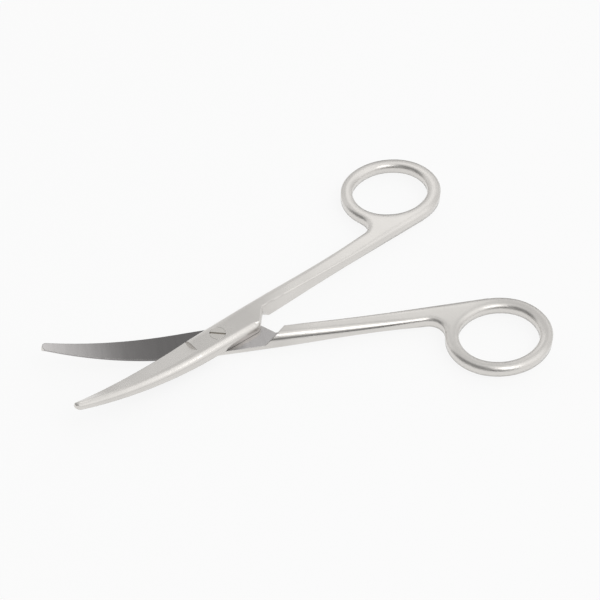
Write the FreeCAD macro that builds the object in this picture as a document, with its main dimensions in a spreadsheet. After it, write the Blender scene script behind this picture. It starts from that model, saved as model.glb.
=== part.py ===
import FreeCAD
import Part
import Sketcher
import math
import os

# Curved dissecting scissors, lying half open on a flat surface.
# Two forged halves cross at a lap joint and turn on a slotted screw.
# Frame: Z up, the screw's axis is Z, the rings lie to +X and the tips to -X,
# and Z = 0 is the surface that the scissors lie on.
#
# Each half is drawn in its own frame: X runs from the screw to the ring,
# Y to the side that the ring bulges to, and Z = 0 is the plane between the halves.

Vector = FreeCAD.Vector

doc = FreeCAD.newDocument("DissectingScissors")
sheet = doc.addObject("Spreadsheet::Sheet", "Sizes")

# Driving dimensions in millimetres and degrees: alias, value, meaning
driving = [
    ("restAngle", 28.3, "angle between the two halves as they lie"),
    ("layer", 3.05, "thickness of one half at the joint"),
    ("lapGap", 0.08, "running gap between the two flats"),
    ("ringThickness", 3.3, "thickness of the ring"),
    ("shankGap", 0.25, "inner face of a shank, from the line through the screw"),
    ("shankWidth", 5.2, "width of the shank where the ring begins"),
    ("ringBand", 3.75, "width of the ring's band"),
    ("ringTilt", -11.7, "slant of the ring's long axis"),
    ("ringDistance", 81.0, "middle of the ring, from the screw"),
    ("holeLength", 24.5, "length of the finger hole"),
    ("holeWidth", 21.3, "width of the finger hole"),
    ("holeEndDrop", 0.75, "half the hole's width, less the radius at its ends"),
    ("holeShift", 0.3, "finger hole, off the ring's middle"),
    ("cornerRadius", 4.5, "hollow corner between shank and ring"),
    ("taperStart", 2.0, "where the handle begins to thin, from the screw"),
    ("taperLength", 55.0, "length over which it thins"),
    ("jointRound", 2.6, "rounding of the joint's outer edge, at the root of the blade"),
    ("roundExponent", 2.5, "how late that rounding fades along the shank"),
    ("edgeBevel", 0.4, "bevel or rounding of the edges of the ring, the hole and the inner face"),
    ("rearDistance", 17.2, "rear end of the joint, from the screw"),
    ("rearAngle", 45.0, "slant of the joint's rear end"),
    ("rearRadius", 2.6, "rounded rear corner of the joint"),
    ("shoulderGap", 0.8, "gap at the shoulder when the scissors are shut"),
    ("shoulderAngle", 28.0, "slope of the shoulder's face"),
    ("edgeRoot", 4.55, "cutting edge from the middle line, at its root"),
    ("edgeTip", 0.8, "cutting edge from the middle line, at the tip"),
    ("edgeExponent", 1.56, "how late the cutting edge curves in"),
    ("spineRear", 5.2, "spine from the middle line, at the rear of the joint"),
    ("spineRoot", 4.75, "spine from the middle line, at the root of the blade"),
    ("spineTip", 1.9, "spine from the middle line, at the tip"),
    ("spineExponent", 1.13, "how late the spine curves in"),
    ("spineRound", 2.2, "rounding of the spine's outer edge, at the root of the blade"),
    ("bladeRoot", 8.6, "root of the blade, from the screw"),
    ("bladeReach", 51.6, "length from the screw to the tip, along the curve"),
    ("bladeRadius", 118.0, "radius of the blade's upward curve"),
    ("tipThickness", 1.62, "thickness of the blade at the tip"),
    ("tipRound", 1.0, "rounding of the tip's outer face"),
    ("landRoot", 1.2, "height of the cutting edge's narrow flat, at its root"),
    ("landTip", 0.35, "height of that flat at the tip"),
    ("landExponent", 0.5, "how late the flat narrows"),
    ("ridgeRatio", 1.0, "ridge from the spine, in thicknesses"),
    ("screwRadius", 1.6, "radius of the screw"),
    ("headRadius", 2.35, "radius of the screw's head"),
    ("headHeight", 1.1, "height of the screw's head"),
    ("boreClearance", 0.05, "running clearance round the screw"),
    ("slotWidth", 0.6, "width of the slot"),
    ("slotDepth", 0.7, "depth of the slot"),
    ("slotAngle", -31.6, "direction of the slot as the scissors lie"),
]
for row, (alias, value, meaning) in enumerate(driving, start=1):
    sheet.set("A%d" % row, meaning)
    sheet.set("B%d" % row, str(value))
    sheet.setAlias("B%d" % row, alias)
doc.recompute()


def size(alias):
    return float(sheet.get(alias))


# Height of the plane between the halves, and half the handle's thickness at the joint
jointHalf = size("layer") + size("lapGap") / 2
jointHalfText = "(Sizes.layer + Sizes.lapGap / 2)"
# Points closer than this are one point
touching = 0.001
# Edges whose directions agree this well, as a cosine, run on smoothly
smooth = 0.99
# Most of a wall's half thickness that a rounding takes
wallShare = 0.85
# Longer than any cut has to be
beyond = 2 * (size("bladeReach") + size("ringDistance") + size("holeLength"))


# Sketches

def originPlane(body, role):
    for feature in body.Origin.OriginFeatures:
        if feature.Role == role:
            return feature


def newSketch(body, name, role, offset=None):
    sketch = body.newObject("Sketcher::SketchObject", name)
    sketch.AttachmentSupport = [(originPlane(body, role), "")]
    sketch.MapMode = "FlatFace"
    if offset is not None:
        sketch.AttachmentOffset = offset
    return sketch


# A value is a number, or the text of an expression in the sheet's cells
def number(value):
    if isinstance(value, str):
        return float(sheet.evalExpression(value.replace("Sizes.", "")))
    return float(value)


def holdValue(sketch, index, value, flip=1):
    if isinstance(value, str):
        sketch.setExpression("Constraints[%d]" % index, "%d * (%s)" % (flip, value))


# Middle point of the shorter arc from start to end; turn is 1 to the left, -1 to the right
def arcMiddle(start, end, radius, turn):
    chord = end - start
    half = chord.Length / 2
    rise = radius - math.sqrt(radius ** 2 - half ** 2)
    side = Vector(chord.y, -chord.x, 0).normalize()
    return (start + end) / 2 + side * rise * turn


# A closed loop of corners (x, y), each followed by a line,
# or (x, y, radius, turn), each followed by an arc. The flips mirror the loop.
def drawLoop(sketch, corners, flipX=1, flipY=1):
    points = [Vector(number(c[0]) * flipX, number(c[1]) * flipY, 0) for c in corners]
    first = sketch.GeometryCount
    ends = []
    for i, corner in enumerate(corners):
        start = points[i]
        end = points[(i + 1) % len(points)]
        if len(corner) == 2:
            sketch.addGeometry(Part.LineSegment(start, end))
            ends.append((1, 2))
            continue
        turn = corner[3] * flipX * flipY
        middle = arcMiddle(start, end, number(corner[2]), turn)
        sketch.addGeometry(Part.Arc(start, middle, end))
        ends.append((1, 2) if turn > 0 else (2, 1))
    for i, corner in enumerate(corners):
        before = (i - 1) % len(corners)
        sketch.addConstraint(Sketcher.Constraint(
            "Coincident", first + before, ends[before][1], first + i, ends[i][0]))
        across = sketch.addConstraint(Sketcher.Constraint(
            "DistanceX", -1, 1, first + i, ends[i][0], points[i].x))
        holdValue(sketch, across, corner[0], flipX)
        along = sketch.addConstraint(Sketcher.Constraint(
            "DistanceY", -1, 1, first + i, ends[i][0], points[i].y))
        holdValue(sketch, along, corner[1], flipY)
        if len(corner) > 2:
            radius = sketch.addConstraint(Sketcher.Constraint(
                "Radius", first + i, number(corner[2])))
            holdValue(sketch, radius, corner[2])


# A circle round the screw's axis
def drawCircle(sketch, radius):
    circle = sketch.addGeometry(Part.Circle(Vector(0, 0, 0), Vector(0, 0, 1), number(radius)))
    sketch.addConstraint(Sketcher.Constraint("Coincident", circle, 3, -1, 1))
    index = sketch.addConstraint(Sketcher.Constraint("Radius", circle, number(radius)))
    holdValue(sketch, index, radius)


# An oval of four tangent arcs
class Oval:
    def __init__(self, centre, length, width, endRadius, tilt):
        halfWidth = width / 2
        endShift = length / 2 - endRadius
        self.width = width
        self.endRadius = endRadius
        self.sideRadius = ((endShift ** 2 + halfWidth ** 2 - endRadius ** 2)
                           / (2 * (halfWidth - endRadius)))
        self.sideShift = self.sideRadius - halfWidth
        along = Vector(math.cos(tilt), math.sin(tilt), 0)
        across = Vector(-math.sin(tilt), math.cos(tilt), 0)
        self.farEnd = centre + along * endShift
        self.nearEnd = centre - along * endShift
        self.innerSide = centre + across * self.sideShift
        self.outerSide = centre - across * self.sideShift

    # Where an end arc meets a side arc
    def junction(self, side, end):
        return side + (end - side).normalize() * self.sideRadius

    # Corners for drawLoop, from the inner side round the far end
    def corners(self):
        arcs = [(self.innerSide, self.farEnd, self.endRadius),
                (self.outerSide, self.farEnd, self.sideRadius),
                (self.outerSide, self.nearEnd, self.endRadius),
                (self.innerSide, self.nearEnd, self.sideRadius)]
        points = [self.junction(side, end) for side, end, radius in arcs]
        return [(p.x, p.y, arc[2], 1) for p, arc in zip(points, arcs)]


# The outline of a half

tilt = math.radians(size("ringTilt"))


# The finger hole's shape, grown all round by a margin
def ovalAt(rise, margin):
    endRadius = size("holeWidth") / 2 - size("holeEndDrop")
    return Oval(Vector(size("ringDistance"), rise, 0), size("holeLength") + 2 * margin,
                size("holeWidth") + 2 * margin, endRadius + margin, tilt)


# The ring's outside touches the line of the shank's inner face
lowRing = ovalAt(0, size("ringBand"))
ringRise = size("shankGap") + lowRing.sideRadius - lowRing.sideShift * math.cos(tilt)
ring = ovalAt(ringRise, size("ringBand"))
bandMiddle = ovalAt(ringRise, size("ringBand") / 2)
hole = ovalAt(ringRise + size("holeShift"), 0)
touch = Vector(ring.innerSide.x, size("shankGap"), 0)

# Outer line, from the root of the blade along the joint and the shank to the ring
outerStart = Vector(-size("bladeRoot"), size("edgeRoot"), 0)
ringFront = ring.nearEnd.x - ring.endRadius
outerRun = (Vector(ringFront, size("shankGap") + size("shankWidth"), 0)
            - outerStart).normalize()
outerNormal = Vector(-outerRun.y, outerRun.x, 0)

# Hollow corner: an arc that touches the outer line and the near end of the ring
toRing = ring.nearEnd - outerStart
cornerRise = toRing.dot(outerNormal) - size("cornerRadius")
cornerReach = math.sqrt((ring.endRadius + size("cornerRadius")) ** 2 - cornerRise ** 2)
cornerFoot = outerStart + outerRun * (toRing.dot(outerRun) - cornerReach)
cornerCentre = cornerFoot + outerNormal * size("cornerRadius")
cornerWay = (cornerCentre - ring.nearEnd).normalize()
cornerTop = ring.nearEnd + cornerWay * ring.endRadius

# Rear end of the joint: a slanted line, rounded into the spine
rearAngle = math.radians(size("rearAngle"))
spineStart = Vector(-size("bladeRoot"), -size("spineRoot"), 0)
spineRun = (Vector(size("rearDistance"), -size("spineRear"), 0) - spineStart).normalize()
rearStart = Vector(size("rearDistance"), size("shankGap"), 0)
rearRun = Vector(-math.sin(rearAngle), -math.cos(rearAngle), 0)


def crossing(pointA, runA, pointB, runB):
    gap = pointB - pointA
    span = (gap.x * runB.y - gap.y * runB.x) / (runA.x * runB.y - runA.y * runB.x)
    return pointA + runA * span


rearCorner = crossing(spineStart, spineRun, rearStart, rearRun)
cornerCut = size("rearRadius") * math.tan(spineRun.getAngle(rearRun * -1) / 2)
spineEnd = rearCorner - spineRun * cornerCut
rearFoot = rearCorner - rearRun * cornerCut

# The shank runs on to the middle of the ring's band, where the ring takes over
bandTurn = bandMiddle.junction(bandMiddle.innerSide, bandMiddle.nearEnd)
bandCorner = ring.nearEnd + cornerWay * bandMiddle.endRadius
shankOutline = [
    (rearStart.x, "Sizes.shankGap"),
    (touch.x, "Sizes.shankGap"),
    (touch.x, "Sizes.shankGap + Sizes.ringBand / 2", bandMiddle.sideRadius, -1),
    (bandTurn.x, bandTurn.y, bandMiddle.endRadius, -1),
    (bandCorner.x, bandCorner.y),
    (cornerTop.x, cornerTop.y, "Sizes.cornerRadius", -1),
    (cornerFoot.x, cornerFoot.y),
    ("-Sizes.bladeRoot", "Sizes.edgeRoot"),
    ("-Sizes.bladeRoot", "-Sizes.spineRoot"),
    (spineEnd.x, spineEnd.y, "Sizes.rearRadius", 1),
    (rearFoot.x, rearFoot.y),
]

# The handle's thickness falls from the joint to the ring along two tangent arcs
ringHalf = size("ringThickness") / 2
drop = jointHalf - ringHalf
taperRadius = (size("taperLength") ** 2 + drop ** 2) / (4 * drop)
taperMiddle = size("taperStart") + size("taperLength") / 2
taperEnd = size("taperStart") + size("taperLength")


# Half the handle's thickness at a distance from the screw
def halfThicknessAt(x):
    place = min(max(x, size("taperStart")), taperEnd)
    if place < taperMiddle:
        run = place - size("taperStart")
        return jointHalf - taperRadius + math.sqrt(taperRadius ** 2 - run ** 2)
    run = taperEnd - place
    return ringHalf + taperRadius - math.sqrt(taperRadius ** 2 - run ** 2)


# Removes a sketch's area right through the body, both ways
def cutThrough(body, name, sketch):
    pocket = body.newObject("PartDesign::Pocket", name)
    pocket.Profile = (sketch, [""])
    pocket.Midplane = True
    pocket.Length = beyond
    return pocket


# Shank and joint of one half, before their edges are rounded.
# flip is the side that the ring bulges to, up the side that the half lies on.
def makeBlank(name, flip, up):
    body = doc.addObject("PartDesign::Body", name + "Blank")
    plan = newSketch(body, name + "Plan", "XY_Plane")
    drawLoop(plan, shankOutline, 1, flip)
    forging = body.newObject("PartDesign::Pad", name + "Forging")
    forging.Profile = (plan, [""])
    forging.Midplane = True
    forging.setExpression("Length", "2 * " + jointHalfText)

    profile = newSketch(body, name + "Profile", "XZ_Plane")
    for sense in (1, -1):
        drawLoop(profile, [
            ("Sizes.taperStart", jointHalfText, taperRadius, -1),
            (taperMiddle, (jointHalf + ringHalf) / 2, taperRadius, 1),
            ("Sizes.taperStart + Sizes.taperLength", "Sizes.ringThickness / 2"),
            (beyond, "Sizes.ringThickness / 2"),
            (beyond, "2 * " + jointHalfText),
            ("Sizes.taperStart", "2 * " + jointHalfText),
        ], 1, sense)
    cutThrough(body, name + "Taper", profile)

    # The lap: the other half's layer is cut away up to a sloping shoulder,
    # which stands clear of the other half's rear end when the scissors are shut
    slant = math.tan(rearAngle)
    shoulder = (size("rearDistance") - size("shankGap") * slant
                + size("shoulderGap") / math.cos(rearAngle))
    wide = ring.width
    lapPlane = FreeCAD.Placement(Vector(0, 0, up * size("lapGap") / 2), FreeCAD.Rotation())
    lap = newSketch(body, name + "Lap", "XY_Plane", lapPlane)
    drawLoop(lap, [
        (shoulder + wide * slant, -wide),
        (shoulder - wide * slant, wide),
        (-beyond, wide),
        (-beyond, -wide),
    ], 1, flip)
    relief = body.newObject("PartDesign::Pocket", name + "Relief")
    relief.Profile = (lap, [""])
    relief.Reversed = up < 0
    relief.setExpression("Length", "2 * " + jointHalfText)
    relief.setExpression("TaperAngle", "Sizes.shoulderAngle")
    return body


# Ring of one half, with bevelled edges inside and out
def makeRing(name, flip):
    body = doc.addObject("PartDesign::Body", name + "Ring")
    plan = newSketch(body, name + "RingPlan", "XY_Plane")
    drawLoop(plan, ring.corners(), 1, flip)
    drawLoop(plan, hole.corners(), 1, flip)
    pad = body.newObject("PartDesign::Pad", name + "RingPad")
    pad.Profile = (plan, [""])
    pad.Midplane = True
    pad.setExpression("Length", "Sizes.ringThickness")
    doc.recompute()

    level = ["Edge%d" % index for index, edge in enumerate(pad.Shape.Edges, start=1)
             if edge.BoundBox.ZLength < touching]
    bevel = body.newObject("PartDesign::Chamfer", name + "RingBevel")
    bevel.Base = (pad, level)
    bevel.setExpression("Size", "Sizes.edgeBevel")
    return body


# Whether a place in the plan is inside the ring's outline, where the shank ends
def inRing(point):
    return ((point - ring.nearEnd).Length < ring.endRadius - touching
            or (point - ring.innerSide).Length < ring.sideRadius - touching)


# Rounding radius at a place on the outline: large on the spine and on the joint's outer edge,
# fading along the shank, and small on the rear and inner edges
def roundingAt(x, y):
    point = Vector(x, y, 0)
    if (point - spineStart).dot(Vector(spineRun.y, -spineRun.x, 0)) > -touching:
        return size("spineRound")
    onRear = abs((point - rearStart).dot(Vector(rearRun.y, -rearRun.x, 0))) < touching
    if onRear or y < size("shankGap") + touching:
        return size("edgeBevel")
    share = min(max((x - outerStart.x) / (cornerFoot.x - outerStart.x), 0), 1)
    fade = share ** size("roundExponent")
    radius = size("jointRound") + (size("edgeBevel") - size("jointRound")) * fade
    return min(radius, wallShare * halfThicknessAt(x))


# Whether an edge runs round a half's top or underside: a wall on one side of it,
# a level face on the other
def isRim(shape, edge):
    faces = shape.ancestorsOfType(edge, Part.Face)
    middle = edge.valueAt((edge.FirstParameter + edge.LastParameter) / 2)
    steep = []
    for face in faces:
        u, v = face.Surface.parameter(middle)
        steep.append(abs(face.normalAt(u, v).z))
    offLap = abs(middle.z) > size("lapGap")
    return offLap and min(steep) < 0.2 and max(steep) > 0.8


# A rim edge that carries on smoothly from a point: its index, far end and heading there
def nextEdge(rims, reached, heading):
    for index, (first, last, firstWay, lastWay) in rims.items():
        if (first - reached).Length < touching and firstWay.dot(heading) > smooth:
            return index, last, lastWay
        if (last - reached).Length < touching and -lastWay.dot(heading) > smooth:
            return index, first, firstWay * -1
    return None


# Groups the rim edges into smooth chains. Each edge has its start and end
# along the chain, which runs the way of its first edge.
def rimChains(shape, flip):
    rims = {}
    for index, edge in enumerate(shape.Edges, start=1):
        if isRim(shape, edge):
            first = edge.valueAt(edge.FirstParameter)
            last = edge.valueAt(edge.LastParameter)
            atRoot = max(first.x, last.x) < -size("bladeRoot") + touching
            middle = Vector((first.x + last.x) / 2, (first.y + last.y) / 2 * flip, 0)
            if not atRoot and not inRing(middle):
                rims[index] = (first, last, edge.tangentAt(edge.FirstParameter),
                               edge.tangentAt(edge.LastParameter))
    chains = []
    while rims:
        index = min(rims)
        first, last, firstWay, lastWay = rims.pop(index)
        chain = [(index, first, last)]
        for grow, reached, heading in ((1, last, lastWay), (-1, first, firstWay * -1)):
            step = nextEdge(rims, reached, heading)
            while step is not None:
                index, far, heading = step
                rims.pop(index)
                chain.append((index, reached, far) if grow > 0 else (index, far, reached))
                reached = far
                step = nextEdge(rims, reached, heading)
        chains.append(chain)
    return chains


# Edges of a half with the radius at each end. flip turns the lower half's
# outline back over, because the radii are worked out on the upper one's.
def rimRoundings(shape, flip):
    roundings = []
    for chain in rimChains(shape, flip):
        for index, start, end in chain:
            roundings.append((index, roundingAt(start.x, start.y * flip),
                              roundingAt(end.x, end.y * flip)))
    return roundings


# Shank and joint with their edges rounded, joined to the ring
def makeForging(name, blank, ringBody, flip):
    rounded = doc.addObject("Part::Fillet", name + "Rounded")
    rounded.Base = blank
    rounded.Edges = rimRoundings(blank.Shape, flip)
    forging = doc.addObject("Part::MultiFuse", name + "Forged")
    forging.Shapes = [rounded, ringBody]
    forging.Refine = True
    return forging


# The blade

# Half widths and thickness at a share of the way from the root to the tip
def edgeAt(share):
    return (size("edgeRoot")
            + (size("edgeTip") - size("edgeRoot")) * share ** size("edgeExponent"))


def spineAt(share):
    return (size("spineRoot")
            + (size("spineTip") - size("spineRoot")) * share ** size("spineExponent"))


# Height of the narrow flat along the cutting edge
def landAt(share):
    return (size("landRoot")
            + (size("landTip") - size("landRoot")) * share ** size("landExponent"))


def thicknessAt(share):
    return size("layer") + (size("tipThickness") - size("layer")) * share


bladeLength = size("bladeReach") - size("bladeRoot")


# Place on the blade's curve, and the curve's slope there in radians
def curveAt(length):
    slope = length / size("bladeRadius")
    return Vector(-size("bladeRoot") - size("bladeRadius") * math.sin(slope), 0,
                  size("bladeRadius") * (1 - math.cos(slope))), slope


def makeHalf(name, label, forging, flip, up):
    body = doc.addObject("PartDesign::Body", name + "Half")
    body.BaseFeature = forging
    body.Label = label
    doc.recompute()

    # Blade, through sections that stand square on its curve
    sections = []
    stations = (0, 0.12, 0.35, 0.62, 0.85, 1)
    for share in stations:
        place, slope = curveAt(bladeLength * share)
        standing = FreeCAD.Placement(Vector(0, place.z, place.x),
                                     FreeCAD.Rotation(Vector(1, 0, 0), math.degrees(slope)))
        section = newSketch(body, "%sSection%d" % (name, len(sections)), "YZ_Plane", standing)
        thick = thicknessAt(share)
        edge = edgeAt(share)
        spine = spineAt(share)
        rounding = size("spineRound") * thick / size("layer")
        base = size("lapGap") / 2
        drawLoop(section, [
            (edge, -size("layer") / 2),
            (edge, base + landAt(share)),
            (thick * size("ridgeRatio") - spine, base + thick),
            (rounding - spine, base + thick, rounding, 1),
            (-spine, base + thick - rounding),
            (-spine, -size("layer") / 2),
        ], flip, up)
        sections.append(section)
    blade = body.newObject("PartDesign::AdditiveLoft", name + "Blade")
    blade.Profile = sections[0]
    blade.Sections = sections[1:]

    # Inner face, hollowed along the blade's curve
    face = newSketch(body, name + "Face", "XZ_Plane")
    lift = up * size("lapGap") / 2
    past, slope = curveAt(bladeLength * 1.1)
    last = past + Vector(math.sin(slope), 0, math.cos(slope)) * lift
    edgeOfCut = -up * size("bladeReach") / 2
    drawLoop(face, [
        ("Sizes.layer - Sizes.bladeRoot", lift),
        ("-Sizes.bladeRoot", lift, size("bladeRadius") - lift, -1),
        (last.x, last.z),
        (last.x, edgeOfCut),
        ("Sizes.layer - Sizes.bladeRoot", edgeOfCut),
    ])
    cutThrough(body, name + "InnerFace", face)

    # Blunt tip: a round end as wide as the blade there, cut square to the blade
    radius = size("edgeTip")
    for attempt in range(5):
        share = (bladeLength - radius) / bladeLength
        radius = (edgeAt(share) + spineAt(share)) / 2
    middle = (edgeAt(share) - spineAt(share)) / 2
    place, slope = curveAt(bladeLength * share)
    aside = ring.width
    square = FreeCAD.Placement(place, FreeCAD.Rotation(Vector(0, 1, 0), math.degrees(slope)))
    end = newSketch(body, name + "TipPlan", "XY_Plane", square)
    drawLoop(end, [
        (0, middle + radius, radius, 1),
        (-radius, middle, radius, 1),
        (0, middle - radius),
        (0, -aside),
        (-aside, -aside),
        (-aside, aside),
        (0, aside),
    ], 1, flip)
    cutThrough(body, name + "Tip", end)

    # The tip's outer face rounds down to its end
    place, slope = curveAt(bladeLength)
    share = (bladeLength - size("tipRound")) / bladeLength
    top = size("lapGap") / 2 + thicknessAt(share) + touching
    along = FreeCAD.Placement(Vector(place.x, place.z, 0),
                              FreeCAD.Rotation(Vector(0, 0, 1), -math.degrees(slope)))
    nose = newSketch(body, name + "Nose", "XZ_Plane", along)
    drawLoop(nose, [
        (size("tipRound"), top, "Sizes.tipRound", 1),
        (0, top - size("tipRound")),
        (-aside, top - size("tipRound")),
        (-aside, 2 * top),
        (size("tipRound"), 2 * top),
    ], 1, up)
    cutThrough(body, name + "TipRound", nose)
    return body


# A round hole on the screw's axis, from a level on the side of the half
# that faces away from the other one, down to a depth
def boreHole(body, name, radius, depth, level, up):
    plane = FreeCAD.Placement(Vector(0, 0, level), FreeCAD.Rotation())
    sketch = newSketch(body, name + "Circle", "XY_Plane", plane)
    drawCircle(sketch, radius)
    bore = body.newObject("PartDesign::Pocket", name)
    bore.Profile = (sketch, [""])
    bore.Reversed = up < 0
    bore.setExpression("Length", depth)
    return bore


# Slotted screw: its head lies in the upper half, and its end is held in the lower one
# and ground flush with its underside
def makeScrew():
    body = doc.addObject("PartDesign::Body", "Screw")
    body.Label = "pivot_screw"
    outline = newSketch(body, "ScrewProfile", "XZ_Plane")
    drawLoop(outline, [
        ("0", "-" + jointHalfText),
        ("Sizes.screwRadius", "-" + jointHalfText),
        ("Sizes.screwRadius", jointHalfText + " - Sizes.headHeight"),
        ("Sizes.headRadius", jointHalfText + " - Sizes.headHeight"),
        ("Sizes.headRadius", jointHalfText),
        ("0", jointHalfText),
    ])
    turned = body.newObject("PartDesign::Revolution", "ScrewTurned")
    turned.Profile = (outline, [""])
    turned.ReferenceAxis = (outline, ["V_Axis"])
    turned.Angle = 360
    doc.recompute()

    top = FreeCAD.Placement(Vector(0, 0, jointHalf), FreeCAD.Rotation())
    slotPlan = newSketch(body, "SlotPlan", "XY_Plane", top)
    past = "2 * Sizes.headRadius"
    drawLoop(slotPlan, [
        ("-" + past, "-Sizes.slotWidth / 2"),
        (past, "-Sizes.slotWidth / 2"),
        (past, "Sizes.slotWidth / 2"),
        ("-" + past, "Sizes.slotWidth / 2"),
    ])
    slot = body.newObject("PartDesign::Pocket", "Slot")
    slot.Profile = (slotPlan, [""])
    slot.setExpression("Length", "Sizes.slotDepth")
    return body


# Turns a finished piece about the screw and lifts it to where it lies
def putDown(body, angle):
    body.Placement = FreeCAD.Placement(Vector(0, 0, jointHalf),
                                       FreeCAD.Rotation(Vector(0, 0, 1), number(angle)))
    body.setExpression("Placement.Base.z", jointHalfText)
    body.setExpression("Placement.Rotation.Angle", angle)


doc.recompute()
upperBlank = makeBlank("upper", 1, 1)
lowerBlank = makeBlank("lower", -1, -1)
doc.recompute()
upperForged = makeForging("upper", upperBlank, makeRing("upper", 1), 1)
lowerForged = makeForging("lower", lowerBlank, makeRing("lower", -1), -1)
doc.recompute()
upper = makeHalf("upper", "upper_half", upperForged, 1, 1)
lower = makeHalf("lower", "lower_half", lowerForged, -1, -1)
doc.recompute()
boreHole(upper, "upperBore", "Sizes.screwRadius + Sizes.boreClearance",
         "2 * " + jointHalfText, jointHalf, 1)
boreHole(upper, "headSeat", "Sizes.headRadius + Sizes.boreClearance",
         "Sizes.headHeight + Sizes.boreClearance", jointHalf, 1)
boreHole(lower, "lowerBore", "Sizes.screwRadius", "2 * " + jointHalfText, -jointHalf, -1)
screw = makeScrew()
doc.recompute()
putDown(upper, "Sizes.restAngle / 2")
putDown(lower, "-Sizes.restAngle / 2")
putDown(screw, "Sizes.slotAngle")
doc.recompute()

# Every object is sound, every cut takes something away and every blade adds something
for item in doc.Objects:
    if "Invalid" in item.State or "Error" in item.State:
        raise RuntimeError("%s failed: %s" % (item.Name, item.State))
    if item.TypeId in ("PartDesign::Pocket", "PartDesign::AdditiveLoft"):
        change = item.Shape.Volume - item.BaseFeature.Shape.Volume
        if item.TypeId == "PartDesign::Pocket":
            change = -change
        print(item.Name, round(change, 2))
        if change < touching:
            raise RuntimeError("%s changes nothing" % item.Name)
pieces = (upper, lower, screw)
for piece in pieces:
    if piece.Shape.isNull() or not piece.Shape.isValid() or len(piece.Shape.Solids) != 1:
        raise RuntimeError("%s is not one valid solid" % piece.Label)

os.makedirs("parts", exist_ok=True)
for piece in pieces:
    piece.Shape.exportStep("parts/" + piece.Label + ".step")
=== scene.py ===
import math

import bpy
from mathutils import Matrix, Vector

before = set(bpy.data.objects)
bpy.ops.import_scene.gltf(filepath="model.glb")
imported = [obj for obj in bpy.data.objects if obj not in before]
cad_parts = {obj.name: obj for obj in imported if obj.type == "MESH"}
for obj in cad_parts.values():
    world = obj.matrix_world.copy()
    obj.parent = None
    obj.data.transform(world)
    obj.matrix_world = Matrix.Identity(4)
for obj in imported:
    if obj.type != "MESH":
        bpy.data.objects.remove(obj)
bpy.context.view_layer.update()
mm = 0.001
print("frame loaded")


# Helpers

# An sRGB hex colour as linear RGBA
def linear(hexColour):
    channels = [int(hexColour[i:i + 2], 16) / 255 for i in (1, 3, 5)]
    straight = [c / 12.92 if c <= 0.04045 else ((c + 0.055) / 1.055) ** 2.4 for c in channels]
    return (*straight, 1.0)


# A unit vector from compass angle (0 is +X, 90 is +Y) and height above the horizon
def towards(compass, height):
    a, h = math.radians(compass), math.radians(height)
    return Vector((math.cos(a) * math.cos(h), math.sin(a) * math.cos(h), math.sin(h)))


# Adds a node. Settings are its properties or the values of its inputs;
# links feed its inputs from other nodes' outputs.
def addNode(tree, kind, settings=None, links=None):
    node = tree.nodes.new(kind)
    for name, value in (settings or {}).items():
        if isinstance(name, int) or name in node.inputs:
            node.inputs[name].default_value = value
        else:
            setattr(node, name, value)
    for name, output in (links or {}).items():
        tree.links.new(output, node.inputs[name])
    return node


# Gives a colour ramp its stops: a place from 0 to 1 and a grey value each
def setStops(ramp, stops):
    points = ramp.color_ramp.elements
    while len(points) < len(stops):
        points.new(0.5)
    for point, (place, value) in zip(points, stops):
        point.position = place
        point.color = (value, value, value, 1.0)


# Camera: aim point and distance in mm, angles in degrees, the clip range in metres
camera = {
    "aim": (28.86, 4.45, 3.09),
    "azimuth": -26.32,
    "elevation": 45.84,
    "roll": 0.578,
    "distance": 581.8,
    "lens": 117.14,
    "sensor": 36,
    "clip": (0.01, 20),
}

azimuth = math.radians(camera["azimuth"])
back = towards(camera["azimuth"] - 90, camera["elevation"])
right = Vector((math.cos(azimuth), math.sin(azimuth), 0))
up = back.cross(right)
roll = math.radians(camera["roll"])
rolledRight = right * math.cos(roll) + up * math.sin(roll)
rolledUp = up * math.cos(roll) - right * math.sin(roll)
cameraData = bpy.data.cameras.new("camera")
cameraData.sensor_width = camera["sensor"]
cameraData.lens = camera["lens"]
cameraData.clip_start, cameraData.clip_end = camera["clip"]
cameraObject = bpy.data.objects.new("camera", cameraData)
bpy.context.collection.objects.link(cameraObject)
place = Vector(camera["aim"]) * mm + back * camera["distance"] * mm
turn = Matrix((rolledRight, rolledUp, back)).transposed().to_4x4()
cameraObject.matrix_world = Matrix.Translation(place) @ turn
bpy.context.scene.camera = cameraObject
print("camera set")


# Room: brightness by height above the horizon, from 0 there to 1 overhead, and soft patches
# in it: compass, height, inner and outer radius in degrees, and what the room is multiplied by
room = {
    "heights": [(0.0, 0.66), (0.10, 0.76), (0.27, 0.84), (0.5, 0.86), (0.87, 0.94), (1.0, 1.00)],
    "patches": [
        (-170, 56, 16, 48, 0.34),
        (-42, 32, 8, 36, 1.30),
        (66, 49, 5, 26, 0.78),
        (36, 14, 8, 26, 1.12),
        (-106, 9, 12, 34, 0.14),
        (-146, 4, 8, 26, 0.30),
        (168, 8, 10, 34, 0.35),
    ],
}

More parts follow.
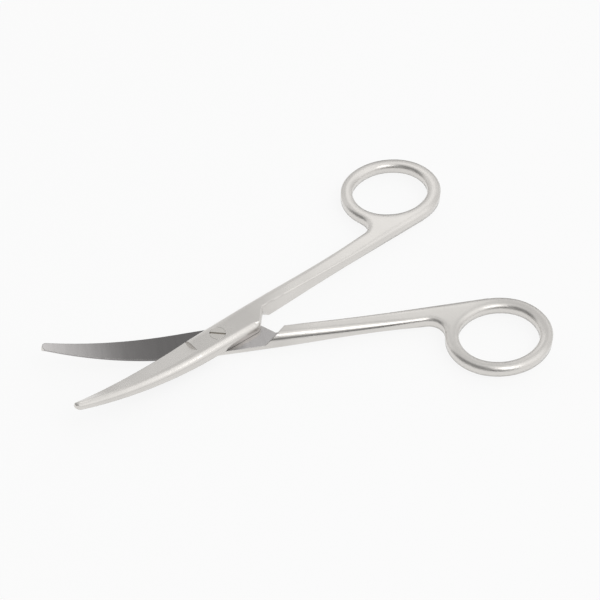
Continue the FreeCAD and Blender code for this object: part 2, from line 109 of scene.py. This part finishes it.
world = bpy.data.worlds.new("studio")
bpy.context.scene.world = world
world.use_nodes = True
tree = world.node_tree
tree.nodes.clear()
way = addNode(tree, "ShaderNodeTexCoord").outputs["Generated"]
split = addNode(tree, "ShaderNodeSeparateXYZ", links={"Vector": way})
heights = addNode(tree, "ShaderNodeValToRGB", links={"Fac": split.outputs["Z"]})
setStops(heights, room["heights"])
level = heights.outputs["Color"]
for compass, height, inner, outer, times in room["patches"]:
    facing = addNode(tree, "ShaderNodeVectorMath",
                     {"operation": "DOT_PRODUCT", 1: towards(compass, height)}, {0: way})
    soft = addNode(tree, "ShaderNodeMapRange", {
        "interpolation_type": "SMOOTHSTEP",
        "From Min": math.cos(math.radians(outer)), "From Max": math.cos(math.radians(inner)),
        "To Min": 1.0, "To Max": times}, {"Value": facing.outputs["Value"]})
    level = addNode(tree, "ShaderNodeVectorMath", {"operation": "SCALE"},
                    {0: level, "Scale": soft.outputs["Result"]}).outputs["Vector"]
# The camera sees plain white. The metal sees the room, whose soft dark patches give it its tones.
seen = addNode(tree, "ShaderNodeLightPath")
roomLight = addNode(tree, "ShaderNodeBackground", {"Strength": 1.0}, {"Color": level})
plainWhite = addNode(tree, "ShaderNodeBackground", {"Color": (1, 1, 1, 1), "Strength": 1.0})
either = addNode(tree, "ShaderNodeMixShader",
                 links={0: seen.outputs["Is Camera Ray"],
                        1: roomLight.outputs[0], 2: plainWhite.outputs[0]})
addNode(tree, "ShaderNodeOutputWorld", links={"Surface": either.outputs[0]})
print("room lit")


# Lamps: what they aim at in mm, compass and height, distance and size in mm, power in watts.
# The ring panel is small and near, so the rings are lit a little more than the joint.
lamps = {
    "keyPanel": {"aim": (28, 4, 3), "from": (-70, 62), "distance": 700, "size": (260, 420),
                 "power": 0.60},
    "fillPanel": {"aim": (28, 4, 3), "from": (10, 62), "distance": 800, "size": (400, 400),
                  "power": 0.12},
    "ringPanel": {"aim": (84, 22, 3), "from": (64, 46), "distance": 250, "size": (80, 80),
                  "power": 0.0092},
}

for name, lamp in lamps.items():
    data = bpy.data.lights.new(name, "AREA")
    data.shape = "RECTANGLE"
    data.size = lamp["size"][0] * mm
    data.size_y = lamp["size"][1] * mm
    data.energy = lamp["power"]
    panel = bpy.data.objects.new(name, data)
    bpy.context.collection.objects.link(panel)
    ray = towards(*lamp["from"])
    panel.location = Vector(lamp["aim"]) * mm + ray * lamp["distance"] * mm
    panel.rotation_euler = ray.to_track_quat("Z", "Y").to_euler()
print("lamps set")


# Floor: a pale matt sheet that keeps a soft shadow. Its glow makes up for the weak lamps,
# more of it where the camera and the metal see the sheet, which is nearly white.
floorSheet = {
    "size": 6000,
    "colour": "#F2F2F2",
    "glow": 0.35,
    "seenGlow": 0.86,
}

floorMesh = bpy.data.meshes.new("floor")
far = floorSheet["size"] / 2 * mm
floorMesh.from_pydata([(-far, -far, 0), (far, -far, 0), (far, far, 0), (-far, far, 0)],
                      [], [(0, 1, 2, 3)])
floor = bpy.data.objects.new("floor", floorMesh)
bpy.context.collection.objects.link(floor)
paper = bpy.data.materials.new("mattPaper")
paper.use_nodes = True
tree = paper.node_tree
tree.nodes.clear()
seen = addNode(tree, "ShaderNodeLightPath")
glossy = addNode(tree, "ShaderNodeMath", {"operation": "MAXIMUM"},
                 {0: seen.outputs["Is Glossy Ray"], 1: seen.outputs["Is Transmission Ray"]})
shown = addNode(tree, "ShaderNodeMath", {"operation": "MAXIMUM"},
                {0: seen.outputs["Is Camera Ray"], 1: glossy.outputs[0]})
share = addNode(tree, "ShaderNodeMapRange",
                {"To Min": floorSheet["glow"], "To Max": floorSheet["seenGlow"]},
                {"Value": shown.outputs[0]})
matt = addNode(tree, "ShaderNodeBsdfDiffuse", {"Color": linear(floorSheet["colour"])})
glow = addNode(tree, "ShaderNodeEmission", {"Color": (1, 1, 1, 1), "Strength": 1.0})
mixed = addNode(tree, "ShaderNodeMixShader",
                links={0: share.outputs["Result"], 1: matt.outputs[0], 2: glow.outputs[0]})
addNode(tree, "ShaderNodeOutputMaterial", links={"Surface": mixed.outputs[0]})
floorMesh.materials.append(paper)
print("floor laid")


# Satin stainless steel: blasted, then lightly brushed, so it is pale and soft all over,
# with broad highlights, a fine even grain and a slow change of tone. Fingers and the buff
# leave the rings glossier than the joint, so roughness is by the place along the half,
# and so is a painted shade: the joint is painted a little darker than the rest, which also dims its
# highlight.
# The real grain, about 0.05 mm, is too fine to show and is drawn at 0.25 mm. Lengths in mm.
satinSteel = {
    "colour": "#D8D5D1",
    "roughness": [(0, 0.27), (16, 0.31), (32, 0.26), (60, 0.17)],
    # painted shade by the place along the half: darker around the joint
    "paintedShade": [(0, 1.00), (9, 0.95), (18, 0.93), (24, 1.00)],
    "grain": 0.25,
    "grainDetail": 3.0,
    "grainHeight": 0.0013,
    "grainRough": 0.1,
    "cloud": 9.0,
    "cloudDetail": 2.0,
    "cloudShade": 0.025,
    "rollSamples": 12,
}

# Ground steel of the blades' inner faces: glossier than the satin, with fine marks
# that run across the blade; the narrow flat along the cutting edge is ground too.
# Their colour holds a painted shade by the place along the half, which stands in for the
# darker room that the glossy faces reflect: it pales towards the tip, and the flats of the
# lap joint are nearly as pale as the satin. The real marks, about 0.1 mm apart, are too
# fine to show and are drawn about 1 mm apart. A face is ground where its normal lies near
# enough to the inner side or the cutting edge, as far back as the two ends.
groundSteel = {
    "colour": "#D9D6D5",
    # painted shade by the place along the half: dark near the joint, paler towards the tip
    "paintedShade": [(-52, 0.70), (-48, 0.61), (-35, 0.45), (-27, 0.33), (-17, 0.27), (2, 0.26), (8, 0.80)],
    "roughness": 0.20,
    "mark": (0.9, 7.0, 1.0),
    "markDetail": 3.0,
    "markHeight": 0.0006,
    "markShade": 0.035,
    "facing": (0.70, 0.78),
    "end": 17.5,
    "edgeEnd": -10,
}

# Each half: its turn in degrees as it lies, which way its inner side faces, and how far the
# shading rolls over its edges, place and radius in mm: the rings are round to the touch
halves = {
    "upper_half": {"turn": 14.15, "inner": -1,
                   "softEdge": [(14, 0.25), (22, 0.7), (52, 1.1), (68, 2.6)]},
    "lower_half": {"turn": -14.15, "inner": 1,
                   "softEdge": [(14, 0.25), (26, 1.2), (52, 1.6), (68, 2.6)]},
}
halfEnds = (-60, 100)
noiseRange = (0.3, 0.7)  # where nearly all of a noise texture's values lie


# Steel of one half, worked out in the half's own frame: X from the tip to the ring
def makeHalfSteel(name, half):
    steel = bpy.data.materials.new(name)
    steel.use_nodes = True
    tree = steel.node_tree
    tree.nodes.clear()
    spot = addNode(tree, "ShaderNodeTexCoord")
    own = addNode(tree, "ShaderNodeMapping",
                  {"Rotation": (0, 0, -math.radians(half["turn"]))},
                  {"Vector": spot.outputs["Object"]}).outputs["Vector"]
    along = addNode(tree, "ShaderNodeSeparateXYZ", links={"Vector": own}).outputs["X"]
    place = addNode(tree, "ShaderNodeMapRange",
                    {"From Min": halfEnds[0] * mm, "From Max": halfEnds[1] * mm},
                    {"Value": along}).outputs["Result"]

    # What changes along the half: stops are places in mm and values
    reach = halfEnds[1] - halfEnds[0]
    byPlace = {}
    for what, stops in (("satinPaintedShade", satinSteel["paintedShade"]), ("groundPaintedShade", groundSteel["paintedShade"]),
                        ("roughness", satinSteel["roughness"]), ("roll", half["softEdge"])):
        ramp = addNode(tree, "ShaderNodeValToRGB", links={"Fac": place})
        setStops(ramp, [((at - halfEnds[0]) / reach, value) for at, value in stops])
        byPlace[what] = ramp.outputs["Color"]

    # 1 on the ground inner face and along the cutting edge, 0 elsewhere
    ownNormal = addNode(tree, "ShaderNodeMapping", {
        "vector_type": "NORMAL", "Rotation": (0, 0, -math.radians(half["turn"]))},
        {"Vector": spot.outputs["Normal"]})
    facing = addNode(tree, "ShaderNodeSeparateXYZ", links={"Vector": ownNormal.outputs["Vector"]})
    parts = []
    for side, sign, end in (("Z", half["inner"], "end"), ("Y", -half["inner"], "edgeEnd")):
        signed = addNode(tree, "ShaderNodeMath", {"operation": "MULTIPLY", 1: sign},
                         {0: facing.outputs[side]})
        flat = addNode(tree, "ShaderNodeMapRange", {
            "From Min": groundSteel["facing"][0], "From Max": groundSteel["facing"][1]},
            {"Value": signed.outputs[0]})
        ahead = addNode(tree, "ShaderNodeMath",
                        {"operation": "LESS_THAN", 1: groundSteel[end] * mm}, {0: along})
        parts.append(addNode(tree, "ShaderNodeMath", {"operation": "MULTIPLY"},
                             {0: flat.outputs["Result"], 1: ahead.outputs[0]}))
    ground = addNode(tree, "ShaderNodeMath", {"operation": "MAXIMUM"},
                     {0: parts[0].outputs[0], 1: parts[1].outputs[0]}).outputs[0]

    grain = addNode(tree, "ShaderNodeTexNoise",
                    {"Scale": 1 / (satinSteel["grain"] * mm), "Detail": satinSteel["grainDetail"]},
                    {"Vector": own}).outputs["Fac"]
    cloud = addNode(tree, "ShaderNodeTexNoise",
                    {"Scale": 1 / (satinSteel["cloud"] * mm), "Detail": satinSteel["cloudDetail"]},
                    {"Vector": own}).outputs["Fac"]
    stretched = addNode(tree, "ShaderNodeMapping", {
        "Scale": tuple(1 / (length * mm) for length in groundSteel["mark"])}, {"Vector": own})
    marks = addNode(tree, "ShaderNodeTexNoise", {"Scale": 1.0, "Detail": groundSteel["markDetail"]},
                    {"Vector": stretched.outputs["Vector"]}).outputs["Fac"]

    # Painted shade: near 1 on satin, and on the ground faces by the place along the half
    marked = addNode(tree, "ShaderNodeMapRange", {
        "From Min": noiseRange[0], "From Max": noiseRange[1],
        "To Min": 1 - groundSteel["markShade"], "To Max": 1 + groundSteel["markShade"]},
        {"Value": marks})
    groundPaintedShade = addNode(tree, "ShaderNodeMath", {"operation": "MULTIPLY"},
                          {0: byPlace["groundPaintedShade"], 1: marked.outputs["Result"]})
    clouded = addNode(tree, "ShaderNodeMapRange", {
        "From Min": noiseRange[0], "From Max": noiseRange[1],
        "To Min": 1 - satinSteel["cloudShade"], "To Max": 1 + satinSteel["cloudShade"]},
        {"Value": cloud})
    satinPaintedShade = addNode(tree, "ShaderNodeMath", {"operation": "MULTIPLY"},
                         {0: byPlace["satinPaintedShade"], 1: clouded.outputs["Result"]})
    paintedShade = addNode(tree, "ShaderNodeMix", {"data_type": "FLOAT"},
                    {0: ground, 2: satinPaintedShade.outputs[0], 3: groundPaintedShade.outputs[0]})
    bare = addNode(tree, "ShaderNodeMix", {
        "data_type": "RGBA", 6: linear(satinSteel["colour"]), 7: linear(groundSteel["colour"])},
        {0: ground})
    colour = addNode(tree, "ShaderNodeVectorMath", {"operation": "SCALE"},
                     {0: bare.outputs[2], "Scale": paintedShade.outputs[0]})

    uneven = addNode(tree, "ShaderNodeMapRange", {
        "To Min": 1 - satinSteel["grainRough"], "To Max": 1 + satinSteel["grainRough"]},
        {"Value": grain})
    satinRough = addNode(tree, "ShaderNodeMath", {"operation": "MULTIPLY"},
                         {0: byPlace["roughness"], 1: uneven.outputs["Result"]})
    rough = addNode(tree, "ShaderNodeMix", {"data_type": "FLOAT", 3: groundSteel["roughness"]},
                    {0: ground, 2: satinRough.outputs[0]})

    # Relief: an even grain, or marks on the ground faces, over edges that roll softly
    radius = addNode(tree, "ShaderNodeMath", {"operation": "MULTIPLY", 1: mm},
                     {0: byPlace["roll"]})
    rolled = addNode(tree, "ShaderNodeBevel", {"samples": satinSteel["rollSamples"]},
                     {"Radius": radius.outputs[0]})
    grainHeight = addNode(tree, "ShaderNodeMath",
                          {"operation": "MULTIPLY", 1: satinSteel["grainHeight"] * mm},
                          {0: grain})
    markHeight = addNode(tree, "ShaderNodeMath",
                         {"operation": "MULTIPLY", 1: groundSteel["markHeight"] * mm},
                         {0: marks})
    relief = addNode(tree, "ShaderNodeMix", {"data_type": "FLOAT"},
                     {0: ground, 2: grainHeight.outputs[0], 3: markHeight.outputs[0]})
    bumped = addNode(tree, "ShaderNodeBump", {"Strength": 1.0, "Distance": 1.0},
                     {"Height": relief.outputs[0], "Normal": rolled.outputs["Normal"]})
    metal = addNode(tree, "ShaderNodeBsdfPrincipled", {"Metallic": 1.0},
                    {"Base Color": colour.outputs["Vector"], "Roughness": rough.outputs[0],
                     "Normal": bumped.outputs["Normal"]})
    addNode(tree, "ShaderNodeOutputMaterial", links={"Surface": metal.outputs[0]})
    return steel


# Turned and polished stainless steel: the screw is a little paler and smoother to the eye than
# the joint, with faint rings that the lathe left. They are about 0.05 mm apart, too fine to
# show, and are drawn at 0.3 mm. Lengths in mm.
turnedSteel = {
    "colour": "#D9D6D1",
    "roughness": 0.24,
    "ring": 0.30,
    "ringHeight": 0.0008,
    "ringWobble": 0.4,
    "softEdge": 0.12,
    "rollSamples": 8,
}
waveTurn = 20  # radians that a wave texture of scale 1 turns in one unit


def makeScrewSteel(name):
    steel = bpy.data.materials.new(name)
    steel.use_nodes = True
    tree = steel.node_tree
    tree.nodes.clear()
    spot = addNode(tree, "ShaderNodeTexCoord")
    rings = addNode(tree, "ShaderNodeTexWave", {
        "wave_type": "RINGS", "rings_direction": "Z",
        "Scale": 2 * math.pi / (turnedSteel["ring"] * mm * waveTurn),
        "Distortion": turnedSteel["ringWobble"]},
        {"Vector": spot.outputs["Object"]})
    height = addNode(tree, "ShaderNodeMath",
                     {"operation": "MULTIPLY", 1: turnedSteel["ringHeight"] * mm},
                     {0: rings.outputs["Fac"]})
    rolled = addNode(tree, "ShaderNodeBevel", {
        "samples": turnedSteel["rollSamples"], "Radius": turnedSteel["softEdge"] * mm})
    bumped = addNode(tree, "ShaderNodeBump", {"Strength": 1.0, "Distance": 1.0},
                     {"Height": height.outputs[0], "Normal": rolled.outputs["Normal"]})
    metal = addNode(tree, "ShaderNodeBsdfPrincipled",
                    {"Base Color": linear(turnedSteel["colour"]), "Metallic": 1.0,
                     "Roughness": turnedSteel["roughness"]},
                    {"Normal": bumped.outputs["Normal"]})
    addNode(tree, "ShaderNodeOutputMaterial", links={"Surface": metal.outputs[0]})
    return steel


finishes = {name: makeHalfSteel(name + "Steel", half) for name, half in halves.items()}
finishes["pivot_screw"] = makeScrewSteel("screwSteel")
for name, steel in finishes.items():
    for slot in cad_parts[name].material_slots:
        slot.material = steel
    print(name, "finished")

bpy.context.scene.view_settings.view_transform = "Standard"
